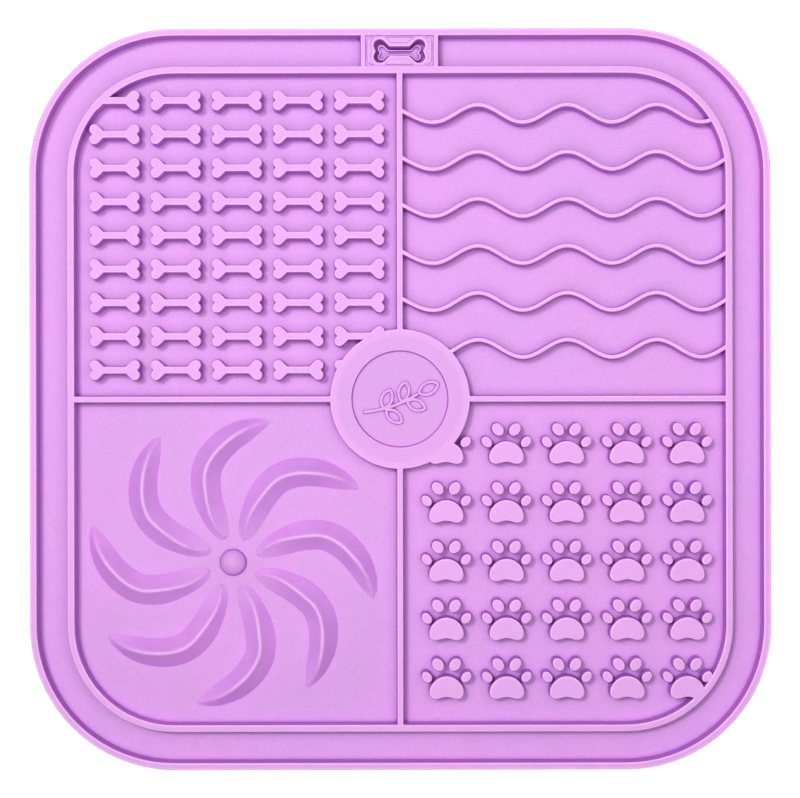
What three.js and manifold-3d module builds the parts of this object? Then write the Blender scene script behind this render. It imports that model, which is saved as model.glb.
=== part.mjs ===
// Slow feeder mat, 200 mm square, moulded in one piece of silicone.
// A flat sheet carries a rim, a moat, an inner wall and a cross of dividers. The four compartments hold
// bones, waves, a swirl of curved ridges and paw prints, and a round medallion covers the crossing.
// The origin is at the centre of the underside, +Z is up, and the small cell in the moat is towards +Y.
import * as THREE from 'three';
import { mergeVertices } from 'three/addons/utils/BufferGeometryUtils.js';
import { ParametricGeometry } from 'three/addons/geometries/ParametricGeometry.js';
import Module from 'manifold-3d';

// Driving dimensions, in millimetres
const side = 200;
const cornerRadius = 39;
const sheetThickness = 2;
const relief = 5;
const rimWidth = 2;
const moatWidth = 8.2;
const wallWidth = 2;
const dividerWidth = 1.75;

// Every ridge, bone and paw ends in one top plane, and has its foot sunk into the sheet
const top = sheetThickness + relief;
const foot = sheetThickness / 2;
const wallInset = rimWidth + moatWidth;
const overlap = 0.5;
const aboveAll = top + 1;

const silicone = new THREE.MeshStandardMaterial({ color: 0xdb9deb, roughness: 0.55, metalness: 0 });
const wasm = await Module();
wasm.setup();

// A closed mesh as a solid that can be joined and cut
function solid(geometry) {
  const bare = geometry.clone();
  bare.deleteAttribute('normal');
  bare.deleteAttribute('uv');
  const merged = mergeVertices(bare);
  const corners = merged.index.array;
  const triangles = [];
  for (let i = 0; i < corners.length; i += 3) {
    const [a, b, c] = corners.slice(i, i + 3);
    if (a !== b && b !== c && c !== a) triangles.push(a, b, c);
  }
  return new wasm.Manifold(new wasm.Mesh({
    numProp: 3,
    vertProperties: new Float32Array(merged.attributes.position.array),
    triVerts: new Uint32Array(triangles),
  }));
}

// A flat shape as an upright solid from one height to another
function upright(shape, low, high) {
  const options = { depth: high - low, bevelEnabled: false };
  return solid(new THREE.ExtrudeGeometry(shape, options).translate(0, 0, low));
}

function join(solids) {
  return solids.reduce((whole, next) => whole.add(next));
}

function count(n) {
  return Array.from({ length: n }, (_, i) => i);
}

function point(x, y) {
  return new THREE.Vector2(x, y);
}

function rectangle(x0, y0, x1, y1) {
  return new THREE.Shape([point(x0, y0), point(x1, y0), point(x1, y1), point(x0, y1)]);
}

function circle(radius, steps) {
  return new THREE.Shape(count(steps).map((i) => {
    const angle = i * 2 * Math.PI / steps;
    return point(radius * Math.cos(angle), radius * Math.sin(angle));
  }));
}

// Points on an arc that runs anticlockwise between two angles in degrees
function arc(x, y, radius, from, to, steps) {
  const turn = THREE.MathUtils.degToRad;
  return new THREE.EllipseCurve(x, y, radius, radius, turn(from), turn(to)).getPoints(steps);
}

// The mat's outline drawn in by an inset, with its four corners concentric
function roundedSquare(inset) {
  const centre = side / 2 - cornerRadius;
  const radius = cornerRadius - inset;
  const cornerSteps = 6;
  return new THREE.Shape([
    ...arc(centre, centre, radius, 0, 90, cornerSteps),
    ...arc(-centre, centre, radius, 90, 180, cornerSteps),
    ...arc(-centre, -centre, radius, 180, 270, cornerSteps),
    ...arc(centre, -centre, radius, 270, 360, cornerSteps),
  ]);
}

// A closed band of the given width whose outer edge is at an inset from the outline
function band(inset, width) {
  const shape = roundedSquare(inset);
  shape.holes.push(roundedSquare(inset + width));
  return upright(shape, foot, top);
}

// A line of points thickened to both sides, with its ends cut square
function ribbon(points, width) {
  const across = points.map((_, i) => {
    const before = points[Math.max(i - 1, 0)];
    const after = points[Math.min(i + 1, points.length - 1)];
    const along = after.clone().sub(before).normalize();
    return point(-along.y, along.x).multiplyScalar(width / 2);
  });
  const right = points.map((p, i) => p.clone().sub(across[i]));
  const left = points.map((p, i) => p.clone().add(across[i]));
  return new THREE.Shape([...right, ...left.reverse()]);
}

// The sheet with its rim, inner wall and dividers
function frame() {
  const cross = wallInset + wallWidth / 2;
  const reach = side / 2 - cross;
  return join([
    upright(roundedSquare(0), 0, sheetThickness),
    band(0, rimWidth),
    band(wallInset, wallWidth),
    upright(rectangle(-reach, -dividerWidth / 2, reach, dividerWidth / 2), foot, top),
    upright(rectangle(-dividerWidth / 2, -reach, dividerWidth / 2, reach), foot, top),
  ]);
}

// A bone has a straight shaft, necks that widen at 45 degrees, and two round knobs at each end
function boneShape({ length, height, shaft, knobRadius }, x = 0, y = 0) {
  const knobX = length / 2 - knobRadius;
  const knobY = height / 2 - knobRadius;
  const shaftEnd = knobX - knobY - Math.SQRT2 * knobRadius + shaft / 2;
  const notch = THREE.MathUtils.radToDeg(Math.asin(knobY / knobRadius));
  const knobSteps = 3;
  const rightEnd = [
    point(shaftEnd, -shaft / 2),
    ...arc(knobX, -knobY, knobRadius, -135, notch, knobSteps),
    ...arc(knobX, knobY, knobRadius, -notch, 135, knobSteps).slice(1),
    point(shaftEnd, shaft / 2),
  ];
  const leftEnd = rightEnd.map((p) => point(-p.x, -p.y));
  return new THREE.Shape([...rightEnd, ...leftEnd].map((p) => point(p.x + x, p.y + y)));
}

// Bones in rows and columns fill the compartment at -X, +Y, from the medallion outwards
const bone = { length: 13.7, height: 5.6, shaft: 2, knobRadius: 1.45 };
const boneGrid = { x: -10.75, y: 7.9, pitchX: 16.5, pitchY: 9.09, columns: 5, rows: 9 };

function bones() {
  const { x, y, pitchX, pitchY, columns, rows } = boneGrid;
  return join(count(rows).flatMap((row) => count(columns).map((column) => {
    return upright(boneShape(bone, x - column * pitchX, y + row * pitchY), foot, top);
  })));
}

// Parallel wave ridges cross the compartment at +X, +Y. Each leaves the divider on a longer half wave, and
// has its first trough at the same distance from it.
const wave = {
  ridges: 6,
  width: 1.15,
  amplitude: 2.36,
  halfWave: 12,
  firstHalfWave: 14,
  firstTrough: 9.2,
  lowest: 13.8,
  pitch: 12.68,
};

function waves() {
  const stepLength = wave.halfWave / 4;
  const stepsBeforeTrough = Math.floor(wave.firstTrough / stepLength);
  const steps = Math.ceil((side / 2 - wallInset) / stepLength);
  return join(count(wave.ridges).map((ridge) => {
    const line = count(steps + 1).map((i) => {
      const fromTrough = (i - stepsBeforeTrough) * stepLength;
      const half = fromTrough < 0 ? wave.firstHalfWave : wave.halfWave;
      const swing = -wave.amplitude * Math.cos(Math.PI * fromTrough / half);
      return point(wave.firstTrough + fromTrough, wave.lowest + ridge * wave.pitch + swing);
    });
    return upright(ribbon(line, wave.width), foot, top);
  }));
}

// The swirl at -X, -Y has a dome in its middle and eight curved ridges around it. The rows are sections
// of one ridge from its outer tip to its inner end: where the crest is, measured from the dome, how far
// the foot lies from it on the outer and the inner side, and how high the crest stands over the sheet.
const swirl = { x: -45.3, y: -44.2, ridges: 8, domeRadius: 3.65, domeHeight: 3 };
const ridgeSections = [
  { x: -20.2, y: 33.9, outer: 0, inner: 0, height: 0 },
  { x: -20.9, y: 33, outer: 0.75, inner: 1.4, height: 0.9 },
  { x: -21.7, y: 31.5, outer: 1.3, inner: 2.2, height: 1.9 },
  { x: -23.1, y: 28, outer: 2.65, inner: 3.3, height: 3.2 },
  { x: -24.2, y: 23, outer: 3.8, inner: 3.6, height: 4 },
  { x: -24.2, y: 17, outer: 4.15, inner: 3.9, height: 4 },
  { x: -22.4, y: 12, outer: 4.05, inner: 4.05, height: 4 },
  { x: -18.1, y: 8, outer: 4, inner: 4.05, height: 3.7 },
  { x: -13.6, y: 5, outer: 2.85, inner: 4.1, height: 2.8 },
  { x: -9.9, y: 3.7, outer: 2.05, inner: 3.6, height: 1.6 },
  { x: -7.4, y: 3.3, outer: 1.4, inner: 2.1, height: 0.7 },
  { x: -6.1, y: 3.3, outer: 0, inner: 0, height: 0 },
];

// A closed skin over the sections: each ring runs from the crest over the outer foot, a keel inside the
// sheet and the inner foot back to the crest
function swirlRidge() {
  const last = ridgeSections.length - 1;
  const crestPoints = ridgeSections.map(({ x, y, height }) => new THREE.Vector3(x, y, height));
  const crest = new THREE.CatmullRomCurve3(crestPoints);
  const surface = (around, along, target) => {
    const row = Math.round(along * last);
    const { x, y, outer, inner, height } = ridgeSections[row];
    const forwards = crest.getTangent(along).setZ(0).normalize();
    const keel = row === 0 || row === last ? 0 : foot - sheetThickness;
    const corner = Math.round(around * 4) % 4;
    const outwards = [0, outer, 0, -inner][corner];
    const rise = [height, 0, keel, 0][corner];
    target.set(x + forwards.y * outwards, y - forwards.x * outwards, sheetThickness + rise);
  };
  return solid(new ParametricGeometry(surface, 4, last));
}

function swirlPattern() {
  const { domeRadius, domeHeight } = swirl;
  const skirt = foot - sheetThickness;
  const capSteps = 3;
  const roundSteps = 16;
  const cap = arc(0, 0, 1, 0, 90, capSteps).map((p) => point(p.x * domeRadius, p.y * domeHeight));
  cap[capSteps].x = 0;
  const profile = [point(0, skirt), point(domeRadius, skirt), ...cap];
  const dome = solid(new THREE.LatheGeometry(profile, roundSteps).rotateX(Math.PI / 2));
  const ridge = swirlRidge();
  const ridges = count(swirl.ridges).map((i) => ridge.rotate([0, 0, i * 360 / swirl.ridges]));
  return join([dome.translate([0, 0, sheetThickness]), ...ridges]).translate([swirl.x, swirl.y, 0]);
}

// Paw prints in rows and columns fill the compartment at +X, -Y. The toes are ellipses that lean outwards,
// placed from the middle of the pad, and are listed for the +X side only.
const pawGrid = { x: 12.53, y: -14.29, pitchX: 16.25, pitchY: 15.85, columns: 5, rows: 5 };
const toes = [
  { x: 2.3, y: 6.2, long: 1.92, short: 1.51, lean: 53 },
  { x: 5.3, y: 2.85, long: 1.69, short: 1.29, lean: 49 },
];

// Half of the pad, from the notch between its two lobes round to its top. A straight line joins the notch
// and the lobe, and each of the other two rows has the handles of a curve and then its end.
const pad = {
  notch: [0, -2.5],
  lobe: [2.66, -3.07],
  lobeToSide: [3.9, -3.07, 4.6, -2.3, 4.6, -1.15],
  sideToTop: [4.6, 0.9, 2.4, 3.05, 0, 3.05],
};

function padShape() {
  const curveSteps = 2;
  const half = new THREE.Path();
  half.moveTo(...pad.notch);
  half.lineTo(...pad.lobe);
  half.bezierCurveTo(...pad.lobeToSide);
  half.bezierCurveTo(...pad.sideToTop);
  const right = half.getPoints(curveSteps);
  const left = right.slice(1, -1).map((p) => point(-p.x, p.y));
  return new THREE.Shape([...right, ...left.reverse()]);
}

function toeShape({ x, y, long, short, lean }, mirror) {
  const steps = 6;
  const turn = THREE.MathUtils.degToRad(mirror > 0 ? lean : 180 - lean);
  const ellipse = new THREE.EllipseCurve(mirror * x, y, long, short, 0, 2 * Math.PI, false, turn);
  return new THREE.Shape(ellipse.getPoints(steps).slice(0, -1));
}

function paws() {
  const { x, y, pitchX, pitchY, columns, rows } = pawGrid;
  const pieces = [padShape(), ...toes.flatMap((toe) => [toeShape(toe, 1), toeShape(toe, -1)])];
  const paw = join(pieces.map((shape) => upright(shape, foot, top)));
  return join(count(rows).flatMap((row) => count(columns).map((column) => {
    return paw.translate([x + column * pitchX, y - row * pitchY, 0]);
  })));
}

// The medallion is a drum with a shallow round recess, and a sprig of leaves in raised lines lies in it
const medallion = { radius: 18.9, recessRadius: 13, recessDepth: 1, lineHeight: 0.8, lineWidth: 0.75 };
const stem = [point(-10, -3.5), point(-2, -3), point(5, 1.5)];
const leaves = [
  { x: 4.8, y: 1.4, angle: 27, length: 6.5 },
  { x: 0.4, y: -1, angle: 78, length: 6 },
  { x: 1.6, y: -0.5, angle: -22, length: 6 },
  { x: -4.6, y: -2.8, angle: 70, length: 6 },
  { x: -4, y: -2.8, angle: -38, length: 6 },
];

// A leaf is drawn as a line: two curved sides that meet in points, with a smaller leaf cut out
function leafShape({ x, y, angle, length }) {
  const turn = THREE.MathUtils.degToRad(angle);
  const bow = length * 0.6;
  const sideSteps = 3;
  const outline = (inset) => {
    const [base, tip] = [point(inset, 0), point(length - 2 * inset, 0)];
    const control = point(length / 2, bow - 2 * inset);
    const upper = new THREE.QuadraticBezierCurve(base, control, tip).getPoints(sideSteps);
    const lower = upper.slice(1, -1).map((p) => point(p.x, -p.y));
    return [...lower, ...upper.reverse()].map((p) => p.rotateAround(point(0, 0), turn).add(point(x, y)));
  };
  const shape = new THREE.Shape(outline(0));
  shape.holes.push(new THREE.Path(outline(medallion.lineWidth)));
  return shape;
}

function sprig() {
  const low = top - medallion.recessDepth - overlap;
  const high = top - medallion.recessDepth + medallion.lineHeight;
  const stemSteps = 6;
  const stemLine = new THREE.QuadraticBezierCurve(...stem).getPoints(stemSteps);
  const lines = [ribbon(stemLine, medallion.lineWidth), ...leaves.map(leafShape)];
  return join(lines.map((shape) => upright(shape, low, high)));
}

// The cell in the moat has two cross walls, a panel just under the top plane, and a bone-shaped pocket
// down to the sheet, with a low bone on its floor
const cell = { halfWidth: 9.2, wall: 1.3, panelDepth: 0.5 };
const pocketBone = { length: 13.8, height: 6.3, shaft: 2.4, knobRadius: 1.6 };
const floorBone = { length: 12.5, height: 4.7, shaft: 1.6, knobRadius: 1.2, rise: 0.8 };

function moatCell() {
  const moatMiddle = side / 2 - rimWidth - moatWidth / 2;
  const reach = moatWidth / 2 + overlap;
  const outer = cell.halfWidth + cell.wall;
  const walls = [-1, 1].map((end) => {
    const [x0, x1] = [end * cell.halfWidth, end * outer].sort((a, b) => a - b);
    return upright(rectangle(x0, -reach, x1, reach), foot, top);
  });
  const panel = upright(rectangle(-outer, -reach, outer, reach), foot, top - cell.panelDepth);
  const pocket = upright(boneShape(pocketBone), sheetThickness, aboveAll);
  const floor = upright(boneShape(floorBone), foot, sheetThickness + floorBone.rise);
  return join([...walls, panel]).subtract(pocket).add(floor).translate([0, moatMiddle, 0]);
}

// The patterns end inside the inner wall, and the medallion is laid over them
function mat() {
  const inside = upright(roundedSquare(wallInset + wallWidth / 2), 0, top);
  const patterns = join([bones(), waves(), swirlPattern(), paws()]).intersect(inside);
  const drum = upright(circle(medallion.radius, 36), foot, top);
  const recess = upright(circle(medallion.recessRadius, 28), top - medallion.recessDepth, aboveAll);
  return join([frame(), patterns, drum]).subtract(recess).add(sprig()).add(moatCell());
}

function meshGeometry(body) {
  const { vertProperties, triVerts } = body.getMesh();
  const geometry = new THREE.BufferGeometry();
  geometry.setAttribute('position', new THREE.BufferAttribute(vertProperties, 3));
  geometry.setIndex(new THREE.BufferAttribute(triVerts, 1));
  geometry.computeVertexNormals();
  return geometry;
}

const part = new THREE.Group();
const mesh = new THREE.Mesh(meshGeometry(mat()), silicone);
mesh.name = 'mat';
part.add(mesh);

export default part;
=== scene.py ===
from math import acos, asin, atan2, cos, floor, hypot, pi, radians, sin, sqrt

import bmesh
import bpy
from mathutils import Matrix, Vector, geometry


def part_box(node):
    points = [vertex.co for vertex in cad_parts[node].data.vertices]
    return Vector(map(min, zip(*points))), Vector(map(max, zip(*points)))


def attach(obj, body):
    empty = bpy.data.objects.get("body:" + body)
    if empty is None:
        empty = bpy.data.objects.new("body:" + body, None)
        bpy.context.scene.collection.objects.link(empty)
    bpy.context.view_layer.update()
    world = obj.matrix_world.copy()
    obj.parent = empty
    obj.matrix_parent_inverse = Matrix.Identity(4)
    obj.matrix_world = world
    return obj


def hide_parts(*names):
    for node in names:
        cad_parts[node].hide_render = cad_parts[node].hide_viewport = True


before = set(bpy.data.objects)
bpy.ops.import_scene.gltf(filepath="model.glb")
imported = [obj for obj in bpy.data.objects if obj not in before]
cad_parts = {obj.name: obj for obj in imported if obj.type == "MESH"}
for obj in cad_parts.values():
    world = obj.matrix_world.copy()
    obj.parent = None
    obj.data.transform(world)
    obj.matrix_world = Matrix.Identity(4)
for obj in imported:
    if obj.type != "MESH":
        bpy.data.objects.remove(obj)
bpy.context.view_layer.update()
scene = bpy.context.scene


# Sheet, rim, moat and inner wall
# The mat is one shot of matte orchid silicone, so every later section joins its shape to this one. A thin
# sheet has a raised rim, a shallow moat inside the rim, and an inner wall that fences off the compartments.
# All tops end in one plane. Walls have a slight draft, rounded top edges and a small fillet at their foot.
mm = 0.001
mat_low, mat_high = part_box("mat")
side = mat_high.x - mat_low.x
top = mat_high.z
sheet = 2 * mm
corner_radius = 39 * mm
rim_width = 2 * mm
moat_width = 8.2 * mm
wall_width = 2 * mm
wall_inset = rim_width + moat_width
draft = 0.1 * mm
edge_round = 0.5 * mm
fillet = 0.12 * mm
rim_round = 0.4 * mm
rim_slope = 0.9 * mm
rim_slope_drop = 0.1 * mm
fillet_steps = 2
round_steps = 4
lattice_pitch = 4.3 * mm
# Points no further apart than this are one point
weld = 0.001 * mm


def quarter(inset, height, radius, start, end, steps=3):
    """Profile points on an arc about (inset, height), between two angles in degrees."""
    angles = [radians(start + (end - start) * i / steps) for i in range(steps + 1)]
    return [(inset + radius * cos(a), height + radius * sin(a)) for a in angles]


def rise(foot, low, high, round_by=edge_round):
    """Profile of a wall that rises inwards from a floor. The foot is where its fillet starts."""
    return [
        *quarter(foot, low + fillet, fillet, -90, 0, fillet_steps),
        *quarter(foot + fillet + draft + round_by, high - round_by, round_by, 180, 90, round_steps),
    ]


def fall(edge, high, low, round_by=edge_round, draft_by=draft):
    """Profile of a wall that falls inwards to a floor. The edge is where its rounded top edge ends."""
    return [
        *quarter(edge - round_by, high - round_by, round_by, 90, 0, round_steps),
        *quarter(edge + draft_by + fillet, low + fillet, fillet, 180, 270, fillet_steps),
    ]


def press(bm, faces, profile):
    """Insets flat faces along a profile of (inset, height) points, which starts where they lie now."""
    for face in faces:
        face.normal_update()
        if face.normal.z < 0:
            face.normal_flip()
    for (inset, height), (next_inset, next_height) in zip(profile, profile[1:]):
        bmesh.ops.inset_region(
            bm,
            faces=faces,
            thickness=next_inset - inset,
            depth=next_height - height,
            use_boundary=True,
            use_even_offset=True,
        )


def closed(bm):
    """Closes the open foot of every shape in the mesh."""
    bmesh.ops.holes_fill(bm, edges=[edge for edge in bm.edges if edge.is_boundary], sides=0)
    bmesh.ops.recalc_face_normals(bm, faces=bm.faces)
    return bm


def solid(name, bm):
    """An object made of a closed mesh, with the heights of its tops made exactly alike."""
    for vertex in bm.verts:
        if abs(vertex.co.z - top) < weld:
            vertex.co.z = top
    mesh = bpy.data.meshes.new(name)
    bm.to_mesh(mesh)
    bm.free()
    body = bpy.data.objects.new(name, mesh)
    scene.collection.objects.link(body)
    return body


def rounded_rectangle(bm, half_x, half_y, radius, place, steps=20):
    """A flat rectangle with round corners, or square ones where the radius is nought, as one face."""
    size = Matrix.Diagonal((half_x, half_y, 1, 1))
    bmesh.ops.create_grid(bm, x_segments=1, y_segments=1, size=1, matrix=Matrix.Translation(place) @ size)
    if radius:
        bmesh.ops.bevel(
            bm,
            geom=bm.verts[:],
            offset=radius,
            offset_type="OFFSET",
            affect="VERTICES",
            segments=steps,
            profile=0.5,
            material=-1,
        )
    return bm.faces[:]


def lattice(bm, faces, pitch, reach):
    """Cuts flat faces along crossing lines, so that each of them later meets only a few shapes."""
    edges = [edge for face in faces for edge in face.edges]
    corners = [vertex for face in faces for vertex in face.verts]
    part = faces + edges + corners
    lines = [(i + 0.5) * pitch for i in range(-round(reach / pitch), round(reach / pitch))]
    for across in [Vector((1, 0, 0)), Vector((0, 1, 0))]:
        for line in lines:
            part = list(dict.fromkeys(part))
            place = line * across
            part = bmesh.ops.bisect_plane(bm, geom=part, dist=weld, plane_co=place, plane_no=across)["geom"]


mould = bmesh.new()
outline = rounded_rectangle(mould, side / 2, side / 2, corner_radius, (0, 0, 0))
press(mould, outline, [
    (0, 0),
    (0, fillet),
    *quarter(rim_round, top - rim_slope_drop - rim_round, rim_round, 180, 100),
    (rim_slope, top),
    *fall(rim_width, top, sheet),
    *rise(wall_inset - draft - fillet, sheet, top),
    *fall(wall_inset + wall_width, top, sheet),
])
lattice(mould, outline, lattice_pitch, side / 2)
mat = solid("slow_feeder_mat", closed(mould))


# Cell in the moat
# Two cross walls shut off a short length of the moat. Between them a panel lies just under the top plane,
# and a bone-shaped pocket goes down through it to the sheet, where a smaller bone is drawn in relief.
cell_half = 9.2 * mm
cell_wall = 1.3 * mm
panel = top - 0.5 * mm
plate_margin = 0.45 * mm
plate_radius = 1.4 * mm
plate_rise = 0.25 * mm
step_round = 0.1 * mm
lip_width = 0.6 * mm
lip_depth = 0.25 * mm
pocket_bone = {"length": 13.8 * mm, "height": 6.3 * mm, "shaft": 2.4 * mm, "knob": 1.6 * mm}
floor_bone = {"length": 11.8 * mm, "height": 4.3 * mm, "shaft": 1.6 * mm, "knob": 1.1 * mm}
floor_bone_top = sheet + 1.4 * mm
floor_bone_inside = sheet + 0.6 * mm
floor_bone_line = 0.4 * mm
knob_steps = 9
plate_corner_steps = 8
moat_middle = Vector((0, side / 2 - rim_width - moat_width / 2, 0))
# A shape on a floor has a root in the floor, starts its fillet a hair below it and is a skirt wider there
root = 0.5 * mm
hair = 0.02 * mm
skirt = fillet + draft


def bone_face(bm, size, grow, height):
    """A flat bone, grown all round: a knob's arc and two straight lines, mirrored both ways and filled."""
    knob = size["knob"] + grow
    knob_x = size["length"] / 2 - size["knob"]
    knob_y = size["height"] / 2 - size["knob"]
    shaft_y = size["shaft"] / 2 + grow
    shaft_end = knob_x - knob_y - sqrt(2) * knob + shaft_y
    notch = asin(knob_y / knob)
    start = bmesh.ops.create_vert(bm, co=(knob_x + knob * cos(notch), 0, height))["vert"]
    arc = bmesh.ops.spin(
        bm,
        geom=start,
        cent=(knob_x, knob_y, height),
        axis=(0, 0, 1),
        angle=notch + radians(135),
        steps=knob_steps,
    )
    end = arc["geom_last"]
    for x in [shaft_end, 0]:
        end = bmesh.ops.extrude_vert_indiv(bm, verts=end)["verts"]
        end[0].co = (x, shaft_y, height)
    for axis in "XY":
        bmesh.ops.mirror(bm, geom=bm.verts[:] + bm.edges[:], axis=axis, merge_dist=weld)
    bmesh.ops.remove_doubles(bm, verts=bm.verts, dist=weld)
    return bmesh.ops.edgeloop_fill(bm, edges=bm.edges)["faces"]


def stand(low, high, round_by=edge_round):
    """Profile of a shape that stands on a floor, from its root up. Its face has to be a skirt wider."""
    return [(0, low - root), *rise(0, low - hair, high, round_by)]


def combine(body, other, operation):
    """Joins, trims or cuts the body with another one, which is used up."""
    boolean = body.modifiers.new("combine", "BOOLEAN")
    boolean.operation = operation
    boolean.solver = "MANIFOLD"
    boolean.object = other
    finished = body.evaluated_get(bpy.context.evaluated_depsgraph_get())
    body.data = bpy.data.meshes.new_from_object(finished)
    body.modifiers.clear()
    bpy.data.objects.remove(other)


def step_down(edge, high, low):
    """Profile of a low step with a small round at its top and none at its foot."""
    return [*quarter(edge - step_round, high - step_round, step_round, 90, 0), (edge + step_round, low)]


block = bmesh.new()
block_half = Vector((cell_half + cell_wall + skirt, moat_width / 2 + cell_wall + skirt))
block_place = moat_middle + Vector((0, 0, sheet - root))
press(block, rounded_rectangle(block, *block_half, 0, block_place), [
    *stand(sheet, top),
    *step_down(skirt + cell_wall, top, panel),
])
cell = solid("cell", closed(block))

plate = bmesh.new()
plate_half = Vector((cell_half - plate_margin, moat_width / 2 - plate_margin))
plate_top = panel + plate_rise
plate_place = moat_middle + Vector((0, 0, panel - root))
plate_face = rounded_rectangle(plate, *plate_half, plate_radius, plate_place, plate_corner_steps)
press(plate, plate_face, [
    (0, panel - root),
    (0, panel),
    (step_round, plate_top),
])
combine(cell, solid("cell_plate", closed(plate)), "UNION")

pocket = bmesh.new()
lip = plate_top - lip_depth
pocket_grown = edge_round + lip_width
press(pocket, bone_face(pocket, pocket_bone, pocket_grown, 2 * top), [
    (0, 2 * top),
    (0, plate_top),
    (0, lip),
    *fall(pocket_grown, lip, sheet),
])
bmesh.ops.translate(pocket, vec=moat_middle, verts=pocket.verts)
combine(cell, solid("pocket", closed(pocket)), "DIFFERENCE")

low_bone = bmesh.new()
press(low_bone, bone_face(low_bone, floor_bone, skirt, sheet - root), [
    *stand(sheet, floor_bone_top, step_round),
    *step_down(skirt + floor_bone_line, floor_bone_top, floor_bone_inside),
])
bmesh.ops.translate(low_bone, vec=moat_middle, verts=low_bone.verts)
combine(cell, solid("pocket_bone", closed(low_bone)), "UNION")
combine(mat, cell, "UNION")


# Dividers
# Two thin upright walls cross the middle of the mat and part it into four compartments. They are moulded
# with the sheet and run into the inner wall.
divider_width = 1.75 * mm
wall_middle = side / 2 - wall_inset - wall_width / 2

for length_x, length_y in [(wall_middle, 0), (0, wall_middle)]:
    bar = bmesh.new()
    half_x = max(length_x, divider_width / 2 + skirt)
    half_y = max(length_y, divider_width / 2 + skirt)
    press(bar, rounded_rectangle(bar, half_x, half_y, 0, (0, 0, sheet - root)), stand(sheet, top))
    combine(mat, solid("divider", closed(bar)), "UNION")


# Bones
# Rows of small dog bones stand in the back left compartment, and food is licked from between them. Each
# has a straight shaft, necks that widen at 45 degrees and two round knobs at each end.
bone = {"length": 13.7 * mm, "height": 5.6 * mm, "shaft": 2 * mm, "knob": 1.45 * mm}
bone_first = Vector((-10.9, 7.9, 0)) * mm
bone_pitch = Vector((-16.5, 9.09, 0)) * mm
bone_columns = 5
bone_rows = 9


def repeat(bm, offsets):
    """Copies the mesh's one shape to every offset, and leaves none in the middle."""
    shape_points = bm.verts[:]
    shape = shape_points + bm.edges[:] + bm.faces[:]
    for offset in offsets:
        copy = bmesh.ops.duplicate(bm, geom=shape)["geom"]
        points = [part for part in copy if isinstance(part, bmesh.types.BMVert)]
        bmesh.ops.translate(bm, vec=offset, verts=points)
    bmesh.ops.delete(bm, geom=shape_points, context="VERTS")
    return bm


bones_mesh = bmesh.new()
press(bones_mesh, bone_face(bones_mesh, bone, skirt, sheet - root), stand(sheet, top))
bone_places = [
    bone_first + Vector((column * bone_pitch.x, row * bone_pitch.y, 0))
    for row in range(bone_rows)
    for column in range(bone_columns)
]
patterns = [solid("bones", repeat(closed(bones_mesh), bone_places))]


# Waves
# Six thin parallel ridges roll across the back right compartment. Each leaves the divider on a longer half
# wave, has its first trough at the same distance from it, and ends in the inner wall.
wave_ridges = 6
wave_width = 1.15 * mm
wave_height = 2.36 * mm
half_wave = 12.05 * mm
first_half_wave = 14 * mm
first_trough = 9.1 * mm
lowest_wave = 13.6 * mm
wave_pitch = 12.68 * mm
wave_step = 1 * mm


def wave_point(x, ridge):
    """The middle of a ridge at a distance from the divider."""
    from_trough = x - first_trough
    half = half_wave if from_trough > 0 else first_half_wave
    return Vector((x, lowest_wave + ridge * wave_pitch - wave_height * cos(pi * from_trough / half), 0))


def ribbon(bm, line, width, height):
    """A flat strip of even width along a line of points."""
    last = len(line) - 1
    strip = bmesh.ops.create_grid(bm, x_segments=last, y_segments=1, size=0.5)["verts"]
    for vertex in strip:
        i = round((vertex.co.x + 0.5) * last)
        along = (line[min(i + 1, last)] - line[max(i - 1, 0)]).normalized()
        across = Vector((-along.y, along.x, 0)) * width * vertex.co.y
        vertex.co = line[i] + across + Vector((0, 0, height))
    return bm.faces[:]


for ridge in range(wave_ridges):
    line = [wave_point(x * wave_step, ridge) for x in range(round(wall_middle / wave_step) + 2)]
    wave = bmesh.new()
    press(wave, ribbon(wave, line, wave_width + 2 * skirt, sheet - root), stand(sheet, top))
    patterns.append(solid("wave", closed(wave)))


# Swirl
# A dome with eight curved ridges round it fills the front left compartment. A ridge has two flat flanks that
# meet in a rounded crest, and it sinks into the sheet at both ends.
swirl_place = Vector((-45.4, -44.3, 0)) * mm
swirl_ridges = 8
dome_radius = 3.65 * mm
dome_height = 2.8 * mm
crest_round = 1 * mm
# Where the crest is low, its rounding is this share of its height
low_crest_round = 0.6
# How far a ridge reaches down into the sheet
keel = 0.8 * mm
# Columns in mm: x and y of the crest from the dome, reach of its outer and inner foot, height of the crest
ridge_sections = [
    (-19.7, 34.0, 0.0, 0.0, 0.0),
    (-20.0, 33.6, 0.7, 0.6, 0.25),
    (-20.8, 32.6, 1.3, 1.45, 0.75),
    (-21.7, 31.1, 1.85, 2.3, 1.5),
    (-23.1, 28.0, 2.8, 3.3, 2.85),
    (-24.2, 23.0, 3.8, 3.6, 4.0),
    (-24.2, 17.0, 4.15, 3.9, 4.0),
    (-22.4, 12.0, 4.05, 4.05, 4.0),
    (-18.1, 8.0, 4.0, 4.05, 3.7),
    (-13.6, 5.0, 2.85, 4.2, 2.8),
    (-10.2, 3.7, 2.25, 3.7, 1.7),
    (-7.7, 3.3, 1.75, 2.6, 0.9),
    (-6.5, 3.3, 1.15, 1.8, 0.5),
    (-5.9, 3.35, 0.0, 0.0, 0.0),
]
stations_between = 4
crest_steps = 6
# Parts of a row: how far to both sides the ridge's direction is taken, and what counts as its very end
direction_reach = 0.1
end_reach = 0.01
dome_sides = 48
dome_steps = 10


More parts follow.
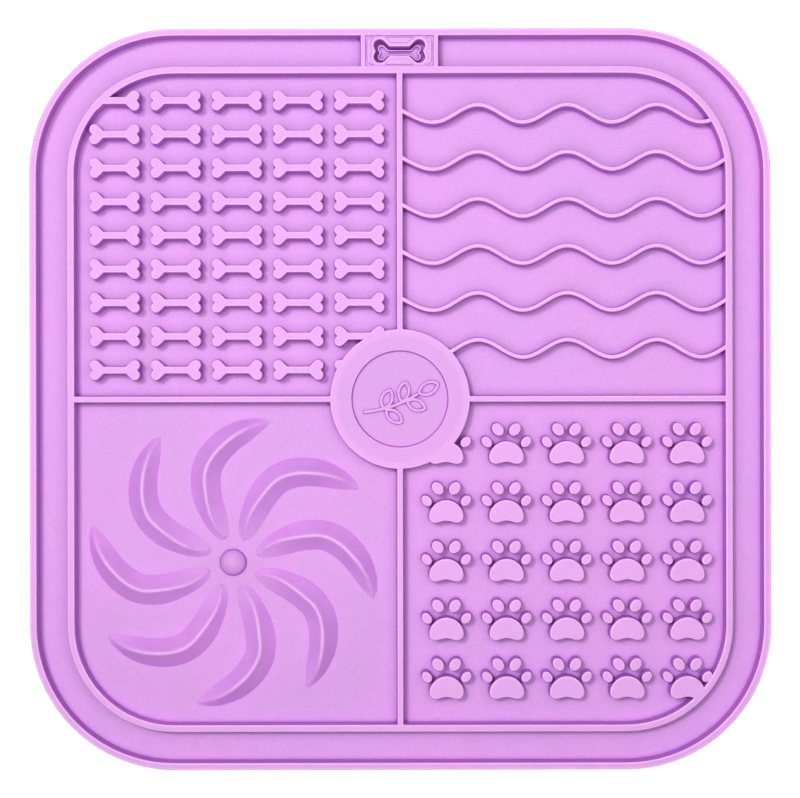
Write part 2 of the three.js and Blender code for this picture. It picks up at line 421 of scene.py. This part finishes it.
def through(rows, place):
    """Smooth values between rows, by a curve that passes through each of them."""
    i = min(floor(place), len(rows) - 2)
    t = place - i
    before, here, after, beyond = [rows[max(0, min(k, len(rows) - 1))] for k in range(i - 1, i + 3)]
    return [
        b + 0.5 * t * (c - a + t * (2 * a - 5 * b + 4 * c - d + t * (3 * (b - c) + d - a)))
        for a, b, c, d in zip(before, here, after, beyond)
    ]


def ridge_ring(outer, inner, height):
    """A ridge's section as (sideways, up) points: over the crest from foot to foot, then under the sheet."""
    rounding = min(crest_round, low_crest_round * height)
    down = height - rounding
    tilts = [acos(rounding / hypot(reach, down)) - atan2(down, reach) for reach in (outer, inner)]
    sweep = [tilts[0] + (pi - tilts[1] - tilts[0]) * i / crest_steps for i in range(crest_steps + 1)]
    crest = [(rounding * cos(a), down + rounding * sin(a)) for a in sweep]
    return [(outer, 0), *crest, (-inner, 0), (-inner / 2, -keel), (outer / 2, -keel), (outer, 0)]


ridge_mesh = bmesh.new()
last_row = len(ridge_sections) - 1
stations = last_row * stations_between
# The steps of the crest, two flanks and three sides under the sheet
ring_steps = crest_steps + 5
skin = bmesh.ops.create_grid(ridge_mesh, x_segments=stations, y_segments=ring_steps, size=0.5)["verts"]
for vertex in skin:
    place = (vertex.co.x + 0.5) * last_row
    x, y, outer, inner, height = [value * mm for value in through(ridge_sections, place)]
    ahead = through(ridge_sections, min(place + direction_reach, last_row))
    behind = through(ridge_sections, max(place - direction_reach, 0))
    forwards = Vector((ahead[0] - behind[0], ahead[1] - behind[1], 0)).normalized()
    outwards = Vector((forwards.y, -forwards.x, 0))
    if end_reach < place < last_row - end_reach:
        sideways, up = ridge_ring(outer, inner, height)[round((vertex.co.y + 0.5) * ring_steps)]
    else:
        sideways, up = 0, -root
    vertex.co = Vector((x, y, sheet - hair + up)) + outwards * sideways
bmesh.ops.remove_doubles(ridge_mesh, verts=ridge_mesh.verts, dist=weld)
bmesh.ops.recalc_face_normals(ridge_mesh, faces=ridge_mesh.faces)
for i in range(swirl_ridges):
    turned = ridge_mesh.copy()
    turn = Matrix.Translation(swirl_place) @ Matrix.Rotation(i * 2 * pi / swirl_ridges, 4, "Z")
    bmesh.ops.transform(turned, matrix=turn, verts=turned.verts)
    patterns.append(solid("swirl_ridge", turned))
ridge_mesh.free()

dome = bmesh.new()
dome_place = Matrix.Translation(swirl_place + Vector((0, 0, sheet - root)))
bmesh.ops.create_circle(dome, cap_ends=True, segments=dome_sides, radius=dome_radius, matrix=dome_place)
dome_slopes = [radians(90 * i / dome_steps) for i in range(dome_steps)]
press(dome, dome.faces[:], [
    (0, sheet - root),
    *[(dome_radius * (1 - cos(a)), sheet - hair + dome_height * sin(a)) for a in dome_slopes],
])
patterns.append(solid("swirl_dome", closed(dome)))


# Paw prints
# Rows of paw prints stand in the front right compartment: each is a pad with two lobes, and four oval toes
# that lean outwards.
paw_first = Vector((12.43, -14.47, 0)) * mm
paw_pitch = Vector((16.25, -15.85, 0)) * mm
paw_columns = 5
paw_rows = 5
toe_sides = 24
# Columns: x and y from the middle of the pad, half length and half width in mm, lean in degrees
toes = [
    (2.3, 6.2, 1.92, 1.51, 53),
    (5.3, 2.85, 1.69, 1.29, 49),
]
# Half of the pad in mm, from the notch between its lobes to its top: an end, two handles and an end each
pad_curves = [
    ((0, -2.68), (1, -2.68), (1.75, -3.22), (2.74, -3.22)),
    ((2.74, -3.22), (4, -3.22), (4.73, -2.37), (4.73, -1.18)),
    ((4.73, -1.18), (4.73, 0.93), (2.57, 3.21), (0, 3.21)),
]
pad_steps = 7
pad_half_width = max(x for curve in pad_curves for x, y in curve) * mm

pad = bmesh.new()
pad_size = mm * (pad_half_width + skirt) / pad_half_width
pad_points = []
for curve in pad_curves:
    corners = [Vector((x * pad_size, y * pad_size, sheet - root)) for x, y in curve]
    pad_points += geometry.interpolate_bezier(*corners, pad_steps)
line = [bmesh.ops.create_vert(pad, co=point)["vert"][0] for point in pad_points]
for one, next_one in zip(line, line[1:]):
    bmesh.ops.contextual_create(pad, geom=[one, next_one])
bmesh.ops.mirror(pad, geom=pad.verts[:] + pad.edges[:], axis="X", merge_dist=0)
bmesh.ops.remove_doubles(pad, verts=pad.verts, dist=weld)
press(pad, bmesh.ops.edgeloop_fill(pad, edges=pad.edges)["faces"], stand(sheet, top))
paw = solid("paw", closed(pad))
for x, y, long, short, lean in toes:
    for mirrored in [1, -1]:
        toe = bmesh.new()
        toe_place = (
            Matrix.Translation((mirrored * x * mm, y * mm, sheet - root))
            @ Matrix.Rotation(radians(mirrored * lean), 4, "Z")
            @ Matrix.Diagonal((long * mm + skirt, short * mm + skirt, 1, 1))
        )
        bmesh.ops.create_circle(toe, cap_ends=True, segments=toe_sides, radius=1, matrix=toe_place)
        press(toe, toe.faces[:], stand(sheet, top))
        combine(paw, solid("toe", closed(toe)), "UNION")
paw_places = [
    paw_first + Vector((column * paw_pitch.x, row * paw_pitch.y, 0))
    for row in range(paw_rows)
    for column in range(paw_columns)
]
paws_mesh = bmesh.new()
paws_mesh.from_mesh(paw.data)
bpy.data.objects.remove(paw)
patterns.append(solid("paws", repeat(paws_mesh, paw_places)))


# Trimming of the patterns
# The patterns end inside the inner wall and at the medallion, as the mould's inserts do. Each is cut off in
# the middle of the wall, and a core is cut out where the medallion will stand.
medallion_radius = 18.9 * mm
recess_radius = 13.1 * mm
core_radius = (medallion_radius + recess_radius) / 2
fence_radius = corner_radius - wall_inset - wall_width / 2
medallion_sides = 96

for pattern in patterns:
    fence = bmesh.new()
    fence_face = rounded_rectangle(fence, wall_middle, wall_middle, fence_radius, (0, 0, 0))
    press(fence, fence_face, [(0, 0), (0, 2 * top)])
    combine(pattern, solid("fence", closed(fence)), "INTERSECT")
    combine(mat, pattern, "UNION")

core = bmesh.new()
core_place = Matrix.Translation((0, 0, sheet))
bmesh.ops.create_circle(core, cap_ends=True, segments=medallion_sides, radius=core_radius, matrix=core_place)
press(core, core.faces[:], [(0, sheet), (0, 2 * top)])
combine(mat, solid("core", closed(core)), "DIFFERENCE")


# Medallion
# A round drum covers the crossing of the dividers, flush with them. A shallow recess in its top carries a
# sprig of leaves in raised lines.
recess_floor = top - 1 * mm
recess_round = 0.2 * mm
recess_draft = 0.3 * mm
recess_pitch = 1.7 * mm
line_top = recess_floor + 0.8 * mm
line_width = 0.75 * mm
line_round = 0.2 * mm
# Start, handle and end of the stem's curve
stem = [Vector((-10, -3.5, 0)) * mm, Vector((-2, -3, 0)) * mm, Vector((5, 1.5, 0)) * mm]
# Columns: x and y of the leaf's base in mm, angle in degrees, length in mm
leaves = [
    (4.8, 1.4, 27, 6.5),
    (0.4, -1.0, 78, 6.0),
    (1.6, -0.5, -22, 6.0),
    (-4.6, -2.8, 70, 6.0),
    (-4.0, -2.8, -38, 6.0),
]
# Half the width of a leaf as a share of its length
leaf_bow = 0.3
leaf_steps = 12
line_steps = 16

drum = bmesh.new()
drum_place = Matrix.Translation((0, 0, sheet - root))
drum_radius = medallion_radius + skirt
bmesh.ops.create_circle(drum, cap_ends=True, segments=medallion_sides, radius=drum_radius, matrix=drum_place)
recess_inset = drum_radius - recess_radius
drum_top = drum.faces[:]
recess_wall = fall(recess_inset, top, recess_floor, recess_round, recess_draft)
press(drum, drum_top, [*stand(sheet, top), *recess_wall])
lattice(drum, drum_top, recess_pitch, recess_radius)
medallion = solid("medallion", closed(drum))


def leaf_face(bm, length, grow, height):
    """A flat leaf along +X, grown all round: one arc from its base to its tip, mirrored and filled."""
    bow = leaf_bow * length
    radius = (length ** 2 / 4 + bow ** 2) / (2 * bow)
    centre = Vector((length / 2, bow - radius, height))
    grown = radius + grow
    half_turn = acos((radius - bow) / grown)
    base = centre + Vector((-grown * sin(half_turn), grown * cos(half_turn), 0))
    start = bmesh.ops.create_vert(bm, co=base)["vert"]
    bmesh.ops.spin(bm, geom=start, cent=centre, axis=(0, 0, 1), angle=-2 * half_turn, steps=leaf_steps)
    bmesh.ops.mirror(bm, geom=bm.verts[:] + bm.edges[:], axis="Y", merge_dist=weld)
    bmesh.ops.remove_doubles(bm, verts=bm.verts, dist=weld)
    return bmesh.ops.edgeloop_fill(bm, edges=bm.edges)["faces"]


stem_line = [
    stem[0] * (1 - t) ** 2 + stem[1] * 2 * t * (1 - t) + stem[2] * t ** 2
    for t in [i / line_steps for i in range(line_steps + 1)]
]
stalk = bmesh.new()
stalk_face = ribbon(stalk, stem_line, line_width + 2 * skirt, recess_floor - root)
press(stalk, stalk_face, stand(recess_floor, line_top, line_round))
combine(medallion, solid("stem", closed(stalk)), "UNION")

for x, y, angle, length in leaves:
    leaf = bmesh.new()
    whole_face = leaf_face(leaf, length * mm, skirt, recess_floor - root)
    press(leaf, whole_face, stand(recess_floor, line_top, line_round))
    hollow = bmesh.new()
    inner_face = leaf_face(hollow, length * mm, line_round - line_width, 2 * top)
    press(hollow, inner_face, [
        (0, 2 * top),
        *fall(line_round, line_top, recess_floor - hair, line_round),
    ])
    leaf_place = Matrix.Translation((x * mm, y * mm, 0)) @ Matrix.Rotation(radians(angle), 4, "Z")
    for shape in [leaf, hollow]:
        bmesh.ops.transform(shape, matrix=leaf_place, verts=shape.verts)
    leaf_line = solid("leaf", closed(leaf))
    combine(leaf_line, solid("leaf_hollow", closed(hollow)), "DIFFERENCE")
    combine(medallion, leaf_line, "UNION")
combine(mat, medallion, "UNION")


# Silicone
# The rubber is orchid right through and matte. Light and shade are partly painted into its tone: tops,
# crests and rounded edges are painted paler as highlights, walls and corners deeper as shade, and slopes a
# more violet shade tint. The medallion's top takes part of the floor tone. The blasted mould leaves a fine
# even grain.
# Tones of the one rubber: the floor tone is its own colour, and the others paint light and shade onto it
lit_top_tone = (0.81, 0.39, 0.87, 1)
edge_highlight_tone = (0.99, 0.55, 1, 1)
floor_tone = (0.71, 0.335, 0.785, 1)
slope_shade_tone = (0.77, 0.33, 0.87, 1)
wall_shade_tone = (0.58, 0.185, 0.69, 1)
shade_tone = (0.56, 0.15, 0.7, 1)
corner_shade_tone = (0.28, 0.05, 0.39, 1)
tops_start = top - 0.8 * mm
tops_end = top - 0.7 * mm
crest_highlight_start = sheet + 0.5 * mm
crest_highlight_end = sheet + 1.6 * mm
corner_reach = 1.2 * mm
mask_width = 1 * mm
boss_depth = 0.6
crest_highlight_strength = 0.58
shade_depth = 0.4
# Where a mask starts and where it is full. The first four go by how far up a surface looks, from nought on a
# wall to one on a level floor, and the last two by how open it lies.
slope_shade_range = (0.97, 0.8)
wall_shade_range = (0.65, 0.4)
level_range = (0.9, 1)
edge_highlight_range = (0.998, 0.97)
shade_range = (1, 0.55)
corner_shade_range = (0.66, 0.32)
# How the grain's noise is spread, and how much it changes the tone, the hue and the surface
noise_range = (0.3, 0.7)
noise_roughness = 0.55
speck_contrast = 0.05
patch_contrast = 0.02
drift_contrast = 0.005
speck_height = 0.04 * mm
speck_strength = 0.5
shine = 0.45
silicone_roughness = (0.5, 0.6)
# Edges that turn by more than this stay sharp in the shading, and on the sheet's own floor by much less
sharpest_smooth = radians(38)
sharpest_smooth_on_sheet = radians(8)

shading = bmesh.new()
shading.from_mesh(mat.data)
for face in shading.faces:
    face.smooth = True
for edge in shading.edges:
    on_sheet = all(abs(vertex.co.z - sheet) < hair / 2 for vertex in edge.verts)
    edge.smooth = edge.calc_face_angle(0) < (sharpest_smooth_on_sheet if on_sheet else sharpest_smooth)
shading.to_mesh(mat.data)
shading.free()
even = mat.modifiers.new("even_shading", "WEIGHTED_NORMAL")
even.keep_sharp = True


def put(tree, kind, settings=None, **inputs):
    """A node with its settings, and with its inputs set to a value or fed from a socket."""
    node = tree.nodes.new(kind)
    for name, value in (settings or {}).items():
        setattr(node, name, value)
    for name, value in inputs.items():
        socket = node.inputs[name.replace("_", " ")]
        if isinstance(value, bpy.types.NodeSocket):
            tree.links.new(value, socket)
        else:
            socket.default_value = value
    return node


def calculate(tree, operation, *values):
    """The result of a sum, product or other step on values and sockets."""
    step = put(tree, "ShaderNodeMath", {"operation": operation})
    for socket, value in zip(step.inputs, values):
        if isinstance(value, bpy.types.NodeSocket):
            tree.links.new(value, socket)
        else:
            socket.default_value = value
    return step.outputs["Value"]


def between(tree, value, low, high, start=0, end=1):
    """A mask that eases from its start to its end as a value goes from low to high."""
    inputs = {"From_Min": low, "From_Max": high, "To_Min": start, "To_Max": end}
    ease = put(tree, "ShaderNodeMapRange", {"interpolation_type": "SMOOTHSTEP"}, Value=value, **inputs)
    return ease.outputs["Result"]


def blend(tree, mask, first, second):
    """One colour where the mask is nought, another where it is one."""
    mix = put(tree, "ShaderNodeMix", {"data_type": "RGBA"})
    for name, value in [("Factor_Float", mask), ("A_Color", first), ("B_Color", second)]:
        socket = next(socket for socket in mix.inputs if socket.identifier == name)
        if isinstance(value, bpy.types.NodeSocket):
            tree.links.new(value, socket)
        else:
            socket.default_value = value
    return next(socket for socket in mix.outputs if socket.identifier == "Result_Color")


def group(name, inputs, outputs):
    """An empty node group with named inputs and outputs, and its two end nodes."""
    tree = bpy.data.node_groups.new(name, "ShaderNodeTree")
    for socket, (kind, value) in inputs.items():
        made = tree.interface.new_socket(socket, in_out="INPUT", socket_type=kind)
        if value is not None:
            made.default_value = value
    for socket, kind in outputs.items():
        tree.interface.new_socket(socket, in_out="OUTPUT", socket_type=kind)
    return tree, tree.nodes.new("NodeGroupInput").outputs, tree.nodes.new("NodeGroupOutput").inputs


# Grain that a blasted mould leaves: fine specks, soft patches about the size of a pea, and broad drifts
grain, given, result = group(
    "moulded_grain",
    {
        "Position": ("NodeSocketVector", None),
        "Speck Size": ("NodeSocketFloat", 0.35 * mm),
        "Patch Size": ("NodeSocketFloat", 4 * mm),
        "Drift Size": ("NodeSocketFloat", 45 * mm),
    },
    {"Specks": "NodeSocketFloat", "Patches": "NodeSocketFloat", "Drift": "NodeSocketFloat"},
)
# Columns: output, input with its size, octaves of detail
noises = [
    ("Specks", "Speck Size", 2),
    ("Patches", "Patch Size", 3),
    ("Drift", "Drift Size", 1),
]
for name, size, detail in noises:
    noise = put(
        grain,
        "ShaderNodeTexNoise",
        Vector=given["Position"],
        Scale=calculate(grain, "DIVIDE", 1, given[size]),
        Detail=detail,
        Roughness=noise_roughness,
    )
    grain.links.new(between(grain, noise.outputs["Fac"], *noise_range), result[name])

# Tone by place, with painted light and shade: floors, shaded walls and slopes, lit tops, highlit edges and
# crests
zones, given, result = group(
    "painted_light_by_place",
    {
        "Height": ("NodeSocketFloat", None),
        "Upright": ("NodeSocketFloat", None),
        "From Middle": ("NodeSocketFloat", None),
        "From Dome": ("NodeSocketFloat", None),
        "Floor Tone": ("NodeSocketColor", floor_tone),
        "Slope Shade Tone": ("NodeSocketColor", slope_shade_tone),
        "Wall Shade Tone": ("NodeSocketColor", wall_shade_tone),
        "Lit Top Tone": ("NodeSocketColor", lit_top_tone),
        "Edge Highlight Tone": ("NodeSocketColor", edge_highlight_tone),
    },
    {"Tone": "NodeSocketColor"},
)
# Painted shade tint: sloping faces, such as the swirl's flanks, take a more violet tone
slope_shade = between(zones, given["Upright"], *slope_shade_range)
# Painted shade: steep walls take the deeper wall tone
wall_shade = between(zones, given["Upright"], *wall_shade_range)
level = between(zones, given["Upright"], *level_range)
# Painted highlight: the rounded edges of the tops take the pale edge tone
rounded = between(zones, given["Upright"], *edge_highlight_range)
raised = between(zones, given["Height"], crest_highlight_start, crest_highlight_end)
on_top = between(zones, given["Height"], tops_start, tops_end)
outside = between(zones, given["From Middle"], core_radius, core_radius + mask_width)
off_dome = between(zones, given["From Dome"], dome_radius, dome_radius + mask_width)
# The medallion's top takes part of the floor tone, so it is darker than the other tops
boss = between(zones, given["From Middle"], medallion_radius, medallion_radius - mask_width, 0, boss_depth)
# Painted highlight in the edge tone on level surfaces a little above the sheet, such as the swirl ridges'
# crests, away from the dome and the medallion
crest = calculate(zones, "MULTIPLY", raised, level)
for mask in [outside, off_dome, crest_highlight_strength]:
    crest = calculate(zones, "MULTIPLY", crest, mask)
tone = blend(zones, slope_shade, given["Floor Tone"], given["Slope Shade Tone"])
tone = blend(zones, crest, tone, given["Edge Highlight Tone"])
# Painted light: tops take the paler lit top tone, with painted highlights on their rounded edges
lit_top = blend(zones, boss, given["Lit Top Tone"], given["Floor Tone"])
lit_top = blend(zones, rounded, lit_top, given["Edge Highlight Tone"])
tone = blend(zones, on_top, tone, lit_top)
zones.links.new(blend(zones, wall_shade, tone, given["Wall Shade Tone"]), result["Tone"])

silicone = bpy.data.materials.new("orchid_silicone")
silicone.use_nodes = True
tree = silicone.node_tree
shader = tree.nodes["Principled BSDF"]
shader.inputs["Specular IOR Level"].default_value = shine
coordinates = put(tree, "ShaderNodeTexCoord")
position = coordinates.outputs["Object"]
grain_node = put(tree, "ShaderNodeGroup", {"node_tree": grain}, Position=position)
height = put(tree, "ShaderNodeSeparateXYZ", Vector=position).outputs["Z"]
upright = put(tree, "ShaderNodeSeparateXYZ", Vector=coordinates.outputs["Normal"]).outputs["Z"]
distance = put(tree, "ShaderNodeVectorMath", {"operation": "LENGTH"}, Vector=position).outputs["Value"]
dome_distance = put(tree, "ShaderNodeVectorMath", {"operation": "DISTANCE"}, Vector=position)
dome_distance.inputs[1].default_value = swirl_place + Vector((0, 0, sheet))
zones_node = put(
    tree,
    "ShaderNodeGroup",
    {"node_tree": zones},
    Height=height,
    Upright=upright,
    From_Middle=distance,
    From_Dome=dome_distance.outputs["Value"],
)
# Painted shade: where walls stand close round a surface it takes a deeper tint, and in the tightest corners
# a dark tone
open_sky = put(tree, "ShaderNodeAmbientOcclusion", {"samples": 6, "only_local": True}, Distance=corner_reach)
shade = between(tree, open_sky.outputs["AO"], *shade_range, 0, shade_depth)
corner_shade = between(tree, open_sky.outputs["AO"], *corner_shade_range)
tone = blend(tree, shade, zones_node.outputs["Tone"], shade_tone)
tone = blend(tree, corner_shade, tone, corner_shade_tone)
specks, patches, drift = [grain_node.outputs[name] for name in ["Specks", "Patches", "Drift"]]
specked = between(tree, specks, 0, 1, 1 - speck_contrast, 1 + speck_contrast)
patched = between(tree, patches, 0, 1, 1 - patch_contrast, 1 + patch_contrast)
speckled = calculate(tree, "MULTIPLY", specked, patched)
hue = between(tree, drift, 0, 1, 0.5 - drift_contrast, 0.5 + drift_contrast)
varied = put(tree, "ShaderNodeHueSaturation", Hue=hue, Value=speckled, Color=tone)
roughness = between(tree, patches, 0, 1, *silicone_roughness)
bump = put(tree, "ShaderNodeBump", Height=specks, Strength=speck_strength, Distance=speck_height)
tree.links.new(varied.outputs["Color"], shader.inputs["Base Color"])
tree.links.new(roughness, shader.inputs["Roughness"])
tree.links.new(bump.outputs["Normal"], shader.inputs["Normal"])

mat.data.materials.clear()
mat.data.materials.append(silicone)
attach(mat, "root")
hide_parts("mat")


# Floor
# A plain pale light table, wide enough to fill the view from any side.
table_radius = 12
table_sides = 64
table_glow = 0.65
table_white = (0.9, 0.9, 0.9, 1)
table_shade = (0.87, 0.87, 0.87, 1)
table_roughness = (0.85, 0.95)

floor_mesh = bmesh.new()
bmesh.ops.create_circle(floor_mesh, cap_ends=True, segments=table_sides, radius=table_radius)
pale_floor = solid("floor", floor_mesh)
table = bpy.data.materials.new("light_table")
table.use_nodes = True
table_tree = table.node_tree
table_shader = table_tree.nodes["Principled BSDF"]
table_position = put(table_tree, "ShaderNodeTexCoord").outputs["Object"]
table_grain = put(table_tree, "ShaderNodeGroup", {"node_tree": grain}, Position=table_position)
table_specks, table_patches = [table_grain.outputs[name] for name in ["Specks", "Patches"]]
pale = blend(table_tree, table_patches, table_white, table_shade)
matte = between(table_tree, table_specks, 0, 1, *table_roughness)
table_tree.links.new(pale, table_shader.inputs["Base Color"])
table_tree.links.new(matte, table_shader.inputs["Roughness"])
table_shader.inputs["Emission Color"].default_value = (1, 1, 1, 1)
table_shader.inputs["Emission Strength"].default_value = table_glow
pale_floor.data.materials.append(table)


# Lights
# A broad soft light hangs low overhead and faces the back edge. A smaller key light stands further off, high
# at the back left, and gives the shadows. The room adds a trace.
# Columns: name, place, point it faces, diameter, watts
lamps = [
    ("overhead_light", (0, 0.1, 0.42), (0, 0.32, 0), 0.65, 1.76),
    ("key_light", (-0.5, 0.42, 1.8), (0, 0, 0), 0.36, 13.9),
]
room_brightness = 0.08

for name, place, aim, size, watts in lamps:
    lamp = bpy.data.lights.new(name, "AREA")
    lamp.shape = "DISK"
    lamp.size = size
    lamp.energy = watts
    lamp_object = bpy.data.objects.new(name, lamp)
    lamp_object.location = place
    lamp_object.rotation_euler = (Vector(aim) - Vector(place)).to_track_quat("-Z", "Y").to_euler()
    lamp_object.visible_camera = False
    scene.collection.objects.link(lamp_object)

room = bpy.data.worlds.new("room")
room.use_nodes = True
background = room.node_tree.nodes["Background"]
background.inputs["Color"].default_value = (1, 1, 1, 1)
background.inputs["Strength"].default_value = room_brightness
scene.world = room
scene.view_settings.view_transform = "Standard"


# Camera
# The photograph looks straight down on the middle of the mat.
camera_height = 0.582
view_width = 0.2156
camera_roll = -0.1

camera = bpy.data.cameras.new("camera")
camera.sensor_fit = "HORIZONTAL"
camera.sensor_width = 36
camera.lens = camera.sensor_width * (camera_height - top) / view_width
camera_object = bpy.data.objects.new("camera", camera)
camera_object.location = (0, 0, camera_height)
camera_object.rotation_euler = (0, 0, radians(camera_roll))
scene.collection.objects.link(camera_object)
scene.camera = camera_object
